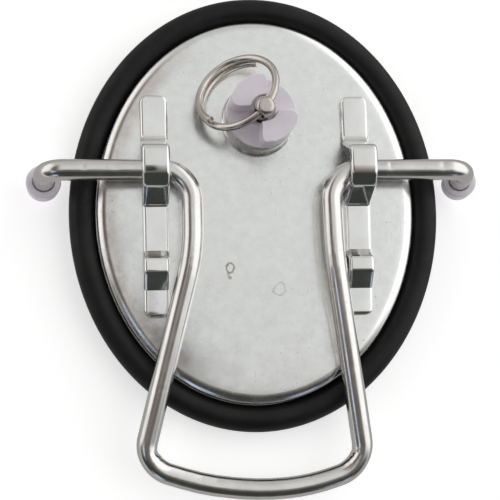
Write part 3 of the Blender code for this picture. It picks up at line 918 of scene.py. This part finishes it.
def make_pull_ring(material):
    """The split ring: about one and a half turns of wire, through the ball."""
    count = ceil((RING_START - RING_END) / radians(3))
    path = []
    for step in range(count + 1):
        angle = RING_START + (RING_END - RING_START) * step / count
        lift = RING_PITCH * (angle + pi / 2) / (2 * pi)
        path.append(Vector((RING_R * cos(angle), RING_R * (1 + sin(angle)), lift)))
    ring = round_wire("split_ring", path, RING_WIRE_R, 24, Vector((0, 0, 1)), material)
    turn = Matrix.Rotation(RING_HEADING, 4, "Z") @ Matrix.Rotation(-RING_SLOPE, 4, "X")
    ring.data.transform(Matrix.Translation(VALVE + Vector((0, 0, BALL_Z))) @ turn)
    finish_piece(ring, "ring", "ring_steel", "pull_ring")


def make_inner_parts(rubber_material, spring_material, white_material):
    """What the valve holds: gasket, spring, washer, poppet with its pad, and the seat."""
    place = Matrix.Translation(VALVE)
    gasket = arc_points((GASKET_R, GASKET_Z), GASKET_WIRE_R, 0, 2 * pi, 16)[:-1]
    finish_piece(lathe("gasket", gasket, rubber_material, place), "lid", "seal_rubber", "body_gasket")

    count = 60 * SPRING_TURNS
    path = []
    for step in range(count + 1):
        angle = 2 * pi * SPRING_TURNS * step / count
        height = SPRING_LOW + (SPRING_HIGH - SPRING_LOW) * step / count
        path.append(VALVE + Vector((SPRING_R * cos(angle), SPRING_R * sin(angle), height)))
    spring = round_wire("coil_spring", path, SPRING_WIRE_R, 12, Vector((0, 0, 1)), spring_material)
    finish_piece(spring, "lid", "spring_steel", "valve_spring")
    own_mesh(spring)

    washer = [
        (WASHER_IN_R, WASHER_HIGH),
        (WASHER_OUT_R, WASHER_HIGH),
        (WASHER_OUT_R, WASHER_LOW),
        (WASHER_IN_R, WASHER_LOW),
    ]
    washer = lathe("washer", softened(washer, SOFT_EDGE), spring_material, place)
    finish_piece(washer, "lid", "spring_steel", "spring_washer")

    disc = [
        (0, POPPET_BORE_Z),
        (POPPET_BORE_R, POPPET_BORE_Z),
        (POPPET_BORE_R, POPPET_HUB_TOP),
        (POPPET_HUB_R, POPPET_HUB_TOP),
        (POPPET_HUB_R, POPPET_TOP),
        (POPPET_R, POPPET_TOP),
        (POPPET_R, POPPET_BOTTOM),
        (POPPET_CUP_R, POPPET_BOTTOM),
        (POPPET_CUP_R, POPPET_CUP_Z),
        (0, POPPET_CUP_Z),
    ]
    disc = softened(disc, SOFT_EDGE, closed=False)
    disc = lathe("poppet_disc", disc, white_material, place, closed=False)
    finish_piece(disc, "stem", "white_plastic", "poppet")

    pad = [(0, PAD_TOP), (PAD_R, PAD_TOP), (PAD_R, PAD_BOTTOM), (0, PAD_BOTTOM)]
    pad = softened(pad, 2 * SOFT_EDGE, closed=False)
    pad = lathe("poppet_pad", pad, rubber_material, place, closed=False)
    finish_piece(pad, "stem", "seal_rubber", "poppet_seal")

    seat = [
        (SEAT_BORE_R, SEAT_LIP_Z),
        (SEAT_LIP_R, SEAT_LIP_Z),
        (SEAT_LIP_R, SEAT_TOP),
        (SEAT_R, SEAT_TOP),
        (SEAT_R, BODY_BOTTOM),
        (SEAT_BORE_R, BODY_BOTTOM),
    ]
    seat = lathe("valve_seat", softened(seat, SOFT_EDGE), white_material, place)
    finish_piece(seat, "lid", "white_plastic", "seat_plug")


# ---------------------------------------------------------------- studio

CAMERA_PLACE = LID + Vector((-35.73, -40.95, 300.0)) * MM + Vector((0, 0, PLATE_Z))
CAMERA_AIM = LID + Vector((-2.14, -10.40, 0)) * MM + Vector((0, 0, PLATE_Z))
CAMERA_ROLL = radians(1.113)
CAMERA_LENS = 85.23

TABLE_R = 4.0
TABLE_DROP = 0.2 * MM
TABLE_GLOW = 0.52
FLAG_R = 28.0 * MM
FLAG_PLACE = CAMERA_PLACE + Vector((-4, -6, 12)) * MM

# The light that comes from each part of the room.
OVERHEAD = (0.76, 0.77, 0.765)
LOW_SKY = (0.60, 0.59, 0.58)
RIGHT_SIDE = (1.35, 1.35, 1.35)
LEFT_SIDE = (0.15, 0.11, 0.09)
LOW_LEFT = (1.15, 1.12, 1.10)
FRONT = (0.20, 0.165, 0.14)
DEEP_FRONT = (0.045, 0.05, 0.045)
TABLE_REFLECTION = (0.42, 0.42, 0.41)
BACKDROP = (0.98, 0.98, 0.98)

# The cool windows: where they are, how wide, how bright.
WINDOWS = (
    ((-0.62, -0.36, 0.69), 0.16, (0.80, 1.00, 1.35)),
    ((-0.40, -0.87, 0.28), 0.18, (0.70, 0.82, 1.10)),
    ((0.44, -0.85, 0.28), 0.14, (0.70, 0.80, 1.05)),
)


def make_camera():
    """The camera, nearly straight over the lid, a little to its front and left."""
    data = bpy.data.cameras.new("camera")
    data.lens = CAMERA_LENS
    data.clip_start = 0.01
    camera = bpy.data.objects.new("camera", data)
    bpy.context.scene.collection.objects.link(camera)
    back = (CAMERA_PLACE - CAMERA_AIM).normalized()
    right = Vector((sin(CAMERA_ROLL), cos(CAMERA_ROLL), 0)).cross(back).normalized()
    turn = Matrix((right, back.cross(right), back)).transposed()
    camera.matrix_world = Matrix.Translation(CAMERA_PLACE) @ turn.to_4x4()
    bpy.context.scene.camera = camera


def make_floor():
    """A wide white light table under the lid."""
    shape = bmesh.new()
    bmesh.ops.create_circle(shape, cap_ends=True, radius=TABLE_R, segments=96)
    material, tree, shader, place = new_material("white_table")
    cloud = remap(tree, noise_value(tree, place, 3, 2), 0.3, 0.7)
    tree.links.new(blend_colours(tree, cloud, (0.86, 0.86, 0.86), (0.9, 0.9, 0.9)),
                   shader.inputs["Base Color"])
    shader.inputs["Roughness"].default_value = 0.9
    shader.inputs["Emission Color"].default_value = (1, 1, 1, 1)
    shader.inputs["Emission Strength"].default_value = TABLE_GLOW
    floor = new_object("floor", shape, material)
    floor.location.z = CAD_LOW.z - TABLE_DROP
    floor.visible_glossy = False


def make_flag(material):
    """A small dark card overhead, for the camera's own reflection in the plate."""
    shape = bmesh.new()
    bmesh.ops.create_circle(shape, cap_ends=True, radius=FLAG_R, segments=48)
    flag = new_object("flag", shape, material)
    flag.location = FLAG_PLACE
    flag.visible_camera = False
    flag.visible_diffuse = False
    flag.visible_shadow = False


def make_world():
    """A pale studio: bright to the right, dark to the front and the left, with cool windows."""
    world = bpy.data.worlds.new("studio")
    world.use_nodes = True
    bpy.context.scene.world = world
    tree = world.node_tree
    toward = add_node(tree, "ShaderNodeTexCoord").outputs["Generated"]
    split = add_node(tree, "ShaderNodeSeparateXYZ", {"Vector": toward})
    x, y, z = split.outputs
    colour = blend_colours(tree, remap(tree, z, 0.97, 0.45), OVERHEAD, LOW_SKY)
    right = maths(tree, "MULTIPLY", remap(tree, x, 0.22, 0.5), remap(tree, y, -0.6, -0.2))
    colour = blend_colours(tree, right, colour, RIGHT_SIDE)
    left = maths(tree, "MULTIPLY", remap(tree, x, -0.12, -0.50), remap(tree, z, 0.56, 0.72))
    colour = blend_colours(tree, left, colour, LEFT_SIDE)
    low_left = maths(tree, "MULTIPLY", remap(tree, x, -0.4, -0.7), remap(tree, z, 0.72, 0.56))
    colour = blend_colours(tree, low_left, colour, LOW_LEFT)
    above_table = remap(tree, z, 0.02, 0.14)
    away_right = maths(tree, "SUBTRACT", 1.0, remap(tree, x, 0.30, 0.62))
    front = maths(tree, "MULTIPLY", remap(tree, y, -0.05, -0.26), away_right)
    colour = blend_colours(tree, maths(tree, "MULTIPLY", front, above_table), colour, FRONT)
    deep = maths(tree, "MULTIPLY", remap(tree, y, -0.25, -0.60), above_table)
    colour = blend_colours(tree, deep, colour, DEEP_FRONT)
    for middle, spread, light in WINDOWS:
        away = add_node(tree, "ShaderNodeVectorMath", {0: toward, 1: middle}, operation="DISTANCE")
        inside = remap(tree, away.outputs["Value"], spread, spread * 0.6)
        colour = blend_colours(tree, inside, colour, light)
    colour = blend_colours(tree, remap(tree, z, 0.01, -0.03), colour, TABLE_REFLECTION)
    seen = add_node(tree, "ShaderNodeLightPath").outputs["Is Camera Ray"]
    colour = blend_colours(tree, seen, colour, BACKDROP)
    background = tree.nodes["Background"]
    tree.links.new(colour, background.inputs["Color"])
    background.inputs["Strength"].default_value = 1.0


def main():
    view = bpy.context.scene.view_settings
    view.view_transform = "Standard"

    plate = plate_steel()
    strip = steel("strip_steel_look", (0.88, 0.88, 0.87), (0.80, 0.80, 0.79), (0.09, 0.16), 0.2,
                  (1, 0.15, 1))
    bright = steel("bail_steel_look", (0.80, 0.79, 0.77), (0.72, 0.71, 0.69), (0.16, 0.26), 0.35)
    warm = steel("ring_steel_look", (0.70, 0.66, 0.61), (0.55, 0.51, 0.47), (0.17, 0.30), 0.5)
    drawn = steel("spring_steel_look", (0.66, 0.66, 0.66), (0.5, 0.5, 0.5), (0.2, 0.3), 0.2)
    black = rubber()
    lilac = plastic("lilac_plastic_look", (0.89, 0.84, 0.905), (0.85, 0.80, 0.865), 0.5)
    white = plastic("white_plastic_look", (0.80, 0.79, 0.76), (0.74, 0.73, 0.70), 0.42)

    make_pan(plate)
    make_seal(black)
    make_strip("bracket_left", strip)
    make_strip("bracket_right", strip)
    make_bail(bright)
    make_foot("foot_left", -1, lilac)
    make_foot("foot_right", 1, lilac)
    make_collar(plate)
    make_valve_body(lilac)
    make_stem(warm)
    make_pull_ring(warm)
    make_inner_parts(black, drawn, white)

    make_camera()
    make_floor()
    make_flag(black)
    make_world()


main()
